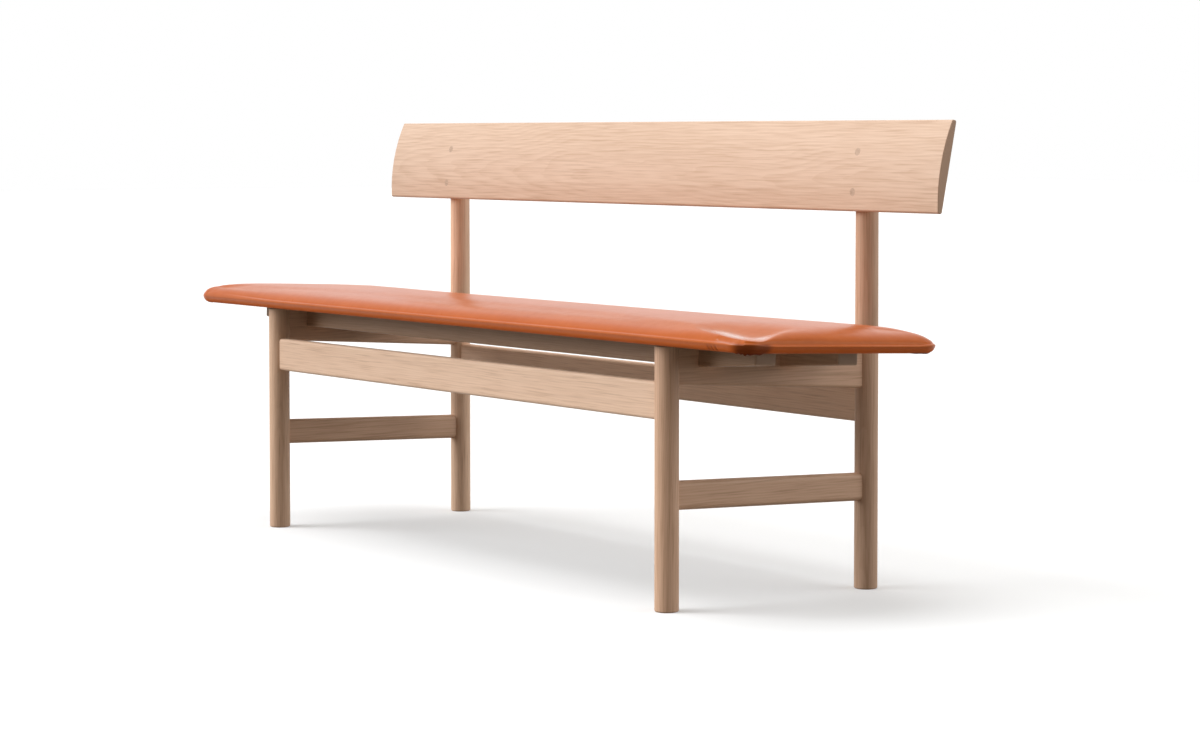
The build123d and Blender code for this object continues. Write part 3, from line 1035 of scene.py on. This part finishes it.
@dataclass
class SeatPad:
    """The leather pad: a closed crowned form over a stiff round rim, with drawn corners.

    The pad's own frame has X along the bench, Y down the seat's slope to the rear and H square to the
    underside. Every ring round the pad is a rectangle with round corners, set in from the plan by an
    amount and raised to a height. These come from the edge's section: the leather that is turned under,
    then a smooth curve through the knots, round the rim, over the narrow ledge and up the dome.
    """

    length: float = 1.600
    depth: float = 0.378
    origin: tuple[float, float, float] = (0.0, -0.03279, 0.38359)
    slope: float = math.radians(2.4)
    plan_radius: float = 0.032
    contour_growth: float = 0.8
    corner_draw: tuple[float, float, float, float] = (0.006, 0.010, 0.004, 0.006)
    draw_levels: Levels = (0.015, 0.030)
    draw_long: float = 0.002
    draw_short: float = 0.001
    turned_under: tuple[Levels, ...] = (
        (0.0300, 0.0010), (0.0200, 0.0010), (0.0183, 0.0009), (0.0176, 0.0001), (0.0160, 0.0),
    )
    knots: tuple[Levels, ...] = (
        (0.0130, 0.0), (0.0090, 0.0006), (0.0050, 0.0027), (0.0017, 0.0066), (0.0, 0.0110),
        (0.0005, 0.0130), (0.0017, 0.0138), (0.0027, 0.0144), (0.0035, 0.0151), (0.0042, 0.0162),
        (0.0050, 0.0180), (0.0069, 0.0205), (0.0104, 0.0236), (0.0163, 0.0270), (0.0258, 0.0303),
        (0.0400, 0.0331), (0.0595, 0.0350), (0.0830, 0.0361), (0.1070, 0.0368), (0.1310, 0.0372),
        (0.1550, 0.0374), (0.1800, 0.0374),
    )
    stiff: float = 0.0158
    taut_end: Levels = (0.11, 0.26)
    taut_front: Levels = (0.10, 0.19)
    arc_points: int = 40
    long_points: int = 250
    short_points: int = 60
    long_evenness: float = 0.30
    short_evenness: float = 0.55
    widest_corner: float = 0.9
    forms: tuple[Form, ...] = (LeftShoulder(), FoldedCorner(), EndLedge(), Pleats())
    creases: Creases = Creases()
    fold_shade: PaintedFoldShade = PaintedFoldShade()
    taut: TautHide = TautHide()
    stuffing: Stuffing = Stuffing()

    def section(self) -> np.ndarray:
        """The edge in section.

        Between two knots lies one more point of the curve: nine sixteenths of each, less a sixteenth of
        each of the knots beyond them.

        Returns:
            Insets and heights, from the lining to the top.
        """
        knots = np.array(self.knots)
        wide = np.vstack([knots[:1], knots, knots[-1:]])
        curve = np.repeat(knots, 2, axis=0)[:-1]
        curve[1::2] = (9 * (wide[1:-2] + wide[2:-1]) - wide[:-3] - wide[3:]) / 16
        return np.vstack([np.array(self.turned_under), curve])

    def corner_reach(self, inset: np.ndarray, height: np.ndarray) -> np.ndarray:
        """Radius of each ring's corners.

        It is the root of the sum of two squares, what the inset leaves of the plan's radius and a share of
        the inset, plus each corner's draw, which comes in above the ledge.

        Args:
            inset: insets of the rings.
            height: heights of the rings.

        Returns:
            The radii, by ring and corner. The corners are rear right, rear left, front left and front right.
        """
        left_over = np.maximum(self.plan_radius - inset, 0.0)
        plain = np.sqrt(left_over**2 + (self.contour_growth * inset) ** 2)
        drawn = smooth(height, *self.draw_levels)
        return plain[:, None] + drawn[:, None] * np.array(self.corner_draw)[None, :]

    def side_shares(self, count: int, evenness: float) -> np.ndarray:
        """Places from 0 to 1 along a side, closer near its ends: a mean of an even row and its sine."""
        even = np.linspace(-1, 1, count + 2)[1:-1]
        return 0.5 + 0.5 * (evenness * even + (1 - evenness) * np.sin(even * math.pi / 2))

    def plan(self, inset: np.ndarray, height: np.ndarray) -> tuple[np.ndarray, np.ndarray]:
        """The rings' places in the pad's plan.

        A corner is a quarter circle, and a side runs straight from corner to corner. The sides are then
        bowed in: a point is pulled to the middle by the draw, times one less the square of its place along
        that side.

        Args:
            inset: insets of the rings.
            height: heights of the rings.

        Returns:
            X and Y, by ring and point.
        """
        half = np.stack([self.length / 2 - inset, self.depth / 2 - inset], axis=-1)
        reach = np.minimum(self.corner_reach(inset, height), self.widest_corner * half.min(axis=1)[:, None])
        turn = np.linspace(0, math.pi / 2, self.arc_points)
        arc = np.stack([np.cos(turn), np.sin(turn)], axis=-1)[None]
        corners = []
        for corner, sign in enumerate(np.array(((1, 1), (-1, 1), (-1, -1), (1, -1)))):
            quarter = arc[..., ::-1] if corner % 2 else arc
            middle = half - reach[:, corner : corner + 1]
            corners.append((quarter * reach[:, corner, None, None] + middle[:, None, :]) * sign)
        sides = [
            self.side_shares(self.long_points, self.long_evenness),
            self.side_shares(self.short_points, self.short_evenness),
        ]
        runs = []
        for corner, quarter in enumerate(corners):
            start, end = quarter[:, -1:, :], corners[(corner + 1) % 4][:, :1, :]
            runs += [quarter, start + (end - start) * sides[corner % 2][None, :, None]]
        x, y = np.moveaxis(np.concatenate(runs, axis=1), -1, 0)
        bowed_x = x * (1 - 2 * self.draw_short / self.length * (1 - (2 * y / self.depth) ** 2))
        bowed_y = y * (1 - 2 * self.draw_long / self.depth * (1 - (2 * x / self.length) ** 2))
        return bowed_x, bowed_y

    def spots(self, x: np.ndarray, y: np.ndarray, inset: np.ndarray, level: np.ndarray) -> Spots:
        """Where points lie on the pad, from their places in its frame and their rings' insets."""
        return Spots(
            from_left=np.maximum(self.length / 2 + x, 0.0),
            from_right=np.maximum(self.length / 2 - x, 0.0),
            from_front=np.maximum(self.depth / 2 + y, 0.0),
            to_end=self.length / 2 - np.abs(x),
            to_side=self.depth / 2 - np.abs(y),
            front_right=(x > 0) & (y < 0),
            inset=inset,
            level=level,
        )

    def to_bench(self, local: np.ndarray) -> np.ndarray:
        """Move points from the pad's frame to the bench's.

        Args:
            local: points by three, in the pad's frame.

        Returns:
            The same points in the bench's frame: the origin plus X, Y down the slope and H square to it.
        """
        sin, cos = math.sin(self.slope), math.cos(self.slope)
        x, y, h = np.moveaxis(local, -1, 0)
        return np.stack([x, y * cos + h * sin, h * cos - y * sin], axis=-1) + np.array(self.origin)

    def hold(self, points: np.ndarray) -> tuple[np.ndarray, np.ndarray]:
        """What the stuffing leaves alone: the rim and the pulled-down corner, where the hide is taut.

        Args:
            points: points by three, in the bench's frame.

        Returns:
            Which points stay, and the share of its move that each point keeps.
        """
        sin, cos = math.sin(self.slope), math.cos(self.slope)
        x, y, z = np.moveaxis(points - np.array(self.origin), -1, 0)
        at = self.spots(x, y * cos - z * sin, np.zeros_like(x), y * sin + z * cos)
        share = np.maximum(smooth(at.from_right, *self.taut_end), smooth(at.from_front, *self.taut_front))
        return at.level < self.stiff, share

    def shell(self) -> bpy.types.Object:
        """The closed form before it is stuffed.

        The rings are joined by quads; the first and the last are closed by one face each.

        Returns:
            The object.
        """
        inset, height = self.section().T
        x, y = self.plan(inset, height)
        inset, height = (np.broadcast_to(part[:, None], x.shape) for part in (inset, height))
        at = self.spots(x, y, inset, height)
        for form in self.forms:
            at = replace(at, level=form.shaped(at))
        y = y + self.creases.pressed(at)
        at = self.spots(x, y, inset, at.level)
        index = np.arange(x.size).reshape(x.shape)
        after = np.roll(index, -1, axis=1)
        quads = np.stack([index[:-1], after[:-1], after[1:], index[1:]], axis=-1).reshape(-1, 4)
        faces = quads.tolist() + [index[0][::-1].tolist(), index[-1].tolist()]
        mesh = bpy.data.meshes.new("seat_pad")
        points = self.to_bench(np.stack([x, y, at.level], axis=-1)).reshape(-1, 3)
        mesh.from_pydata(points.tolist(), [], faces)
        # The first attribute is painted shade for the folds, creases and corner undersides; the second marks
        # where the coat shines.
        tones = {"painted_fold_shade": self.fold_shade.tone(at, self.creases), "shine": self.taut.shine(at)}
        for name, values in tones.items():
            attribute = mesh.attributes.new(name, "FLOAT", "POINT")
            attribute.data.foreach_set("value", values.astype(np.float32).ravel())
        mesh.update()
        piece = bpy.data.objects.new("seat_pad", mesh)
        bpy.context.scene.collection.objects.link(piece)
        return piece

    def build(self) -> bpy.types.Object:
        """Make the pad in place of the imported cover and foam, and dress what lies under it.

        Returns:
            The finished pad.
        """
        piece = self.shell()
        self.stuffing.fill(piece, self.hold)
        piece.data.polygons.foreach_set("use_smooth", np.ones(len(piece.data.polygons), bool))
        piece.data.materials.append(Leather(origin=self.origin, slope=self.slope).material())
        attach(piece, BODY)
        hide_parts("seat_cover", "seat_foam")
        log.info("seat_pad: %d faces", len(piece.data.polygons))
        dress("seat_lining", Cloth())
        dress("seat_board", Plywood())
        dress("batten_screws", Steel("batten screw steel"))
        dress("seat_screws", Steel("seat screw steel"))
        return piece


@dataclass(frozen=True)
class Lamp:
    """One soft lamp far away, in a direction from the bench.

    Its level is the brightness that it gives a white surface that faces it, and its spread the angle in
    degrees that it fills.
    """

    name: str
    towards: tuple[float, float, float]
    level: float
    spread: float
    distance: float = 5.0

    def hang(self) -> None:
        """Add the lamp."""
        light = bpy.data.lights.new(self.name, "SUN")
        light.energy = math.pi * self.level
        light.angle = math.radians(self.spread)
        piece = bpy.data.objects.new(self.name, light)
        piece.rotation_mode = "QUATERNION"
        piece.rotation_quaternion = (-Vector(self.towards)).to_track_quat("-Z", "Y")
        piece.location = Vector(self.towards).normalized() * self.distance
        bpy.context.scene.collection.objects.link(piece)


@dataclass
class Studio:
    """A pale floor, a white surround, soft lamps and the camera."""

    camera_place: tuple[float, float, float] = (3.9597, -2.7177, 0.6914)
    yaw: float = math.radians(54.4558)
    pitch: float = math.radians(2.5898)
    lens: float = 87.600
    shift: float = -0.08
    around: float = 0.42
    around_colour: Colour = (1.0, 0.92, 0.82)
    overhead_share: float = 0.75
    horizon: Levels = (-0.2, 0.3)
    floor_half: float = 30.0
    floor_glow: float = 0.27
    floor_colour: Colour = (0.73, 0.745, 0.76)
    floor_bounce: Colour = (0.14, 0.115, 0.09)
    lamps: tuple[Lamp, ...] = (
        Lamp("key", (-0.50, -0.80, 0.42), 0.75, 42.0),
        Lamp("top", (-0.22, -0.18, 0.96), 0.54, 46.0),
        Lamp("right", (0.65, 0.76, 0.27), 0.45, 55.0),
        Lamp("behind", (-0.76, 0.54, 0.36), 0.014, 26.0),
    )

    def seen(self, shader: Shader) -> Signal:
        """One for rays from the camera, in glossy reflections and through clear things, else zero.

        Args:
            shader: the material or world that asks.

        Returns:
            The mask.
        """
        path = shader.node("ShaderNodeLightPath", {}, {}, "Is Camera Ray")
        outputs = path.socket.node.outputs
        glossy = Signal(shader, outputs["Is Glossy Ray"])
        through = Signal(shader, outputs["Is Transmission Ray"])
        settings = {"operation": "ADD", "use_clamp": True}
        return shader.node("ShaderNodeMath", settings, {0: path + glossy, 1: through})

    def world(self) -> None:
        """White where it is seen; the light that it gives grows from the horizon to straight above."""
        shader = Shader(bpy.data.worlds.new("surround"))
        _, _, up = shader.split(shader.node("ShaderNodeTexCoord", {}, {}, "Generated"))
        overhead = up.step(0.0, 1.0) * (self.overhead_share * self.around)
        level = overhead + up.step(*self.horizon) * ((1 - self.overhead_share) * self.around)
        white = shader.node("ShaderNodeBackground", {}, {"Color": WHITE, "Strength": 1.0})
        light = shader.node("ShaderNodeBackground", {}, {"Color": self.around_colour, "Strength": level})
        mixed = shader.node("ShaderNodeMixShader", {}, {0: self.seen(shader), 1: light, 2: white})
        bpy.context.scene.world = shader.finish(mixed)

    def floor(self) -> None:
        """A wide pale floor that takes the bench's shadow and reads as white."""
        mesh = bpy.data.meshes.new("floor")
        signs = ((-1, -1), (1, -1), (1, 1), (-1, 1))
        points = [(x * self.floor_half, y * self.floor_half, 0.0) for x, y in signs]
        mesh.from_pydata(points, [], [(0, 1, 2, 3)])
        piece = bpy.data.objects.new("floor", mesh)
        bpy.context.scene.collection.objects.link(piece)
        shader = Shader(bpy.data.materials.new("pale floor"))
        matt = shader.node("ShaderNodeBsdfDiffuse", {}, {"Color": self.floor_colour})
        glow = shader.node("ShaderNodeEmission", {}, {"Color": WHITE, "Strength": self.floor_glow})
        lit = shader.node("ShaderNodeAddShader", {}, {0: matt, 1: glow})
        bounce = shader.node("ShaderNodeBsdfDiffuse", {}, {"Color": self.floor_bounce})
        mixed = shader.node("ShaderNodeMixShader", {}, {0: self.seen(shader), 1: bounce, 2: lit})
        mesh.materials.append(shader.finish(mixed))

    def camera(self) -> None:
        """Stand the camera where the photograph was taken from, looking along its yaw and pitch."""
        data = bpy.data.cameras.new("camera")
        data.sensor_width = 36.0
        data.lens = self.lens
        data.shift_y = self.shift
        data.clip_start, data.clip_end = 0.05, 100.0
        piece = bpy.data.objects.new("camera", data)
        piece.location = self.camera_place
        cos = math.cos(self.pitch)
        ahead = Vector((-math.sin(self.yaw) * cos, math.cos(self.yaw) * cos, -math.sin(self.pitch)))
        piece.rotation_mode = "QUATERNION"
        piece.rotation_quaternion = ahead.to_track_quat("-Z", "Y")
        bpy.context.scene.collection.objects.link(piece)
        bpy.context.scene.camera = piece

    def build(self) -> None:
        """Set up the whole studio."""
        bpy.context.scene.view_settings.view_transform = "Standard"
        self.camera()
        self.world()
        self.floor()
        for lamp in self.lamps:
            lamp.hang()
        log.info("studio: camera, floor, surround and %d lamps", len(self.lamps))


def corners(box: tuple[Vector, Vector]) -> list[list[float]]:
    """Two corners as plain lists of numbers."""
    return [[float(part) for part in corner] for corner in box]


def main() -> None:
    """Build the bench's looks in order."""
    logging.basicConfig(level=logging.INFO, format="%(name)s %(message)s")
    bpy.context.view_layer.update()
    Studio().build()
    OakFrame().build()
    BackRest().build()
    SeatPad().build()


if __name__ == "__main__":
    main()
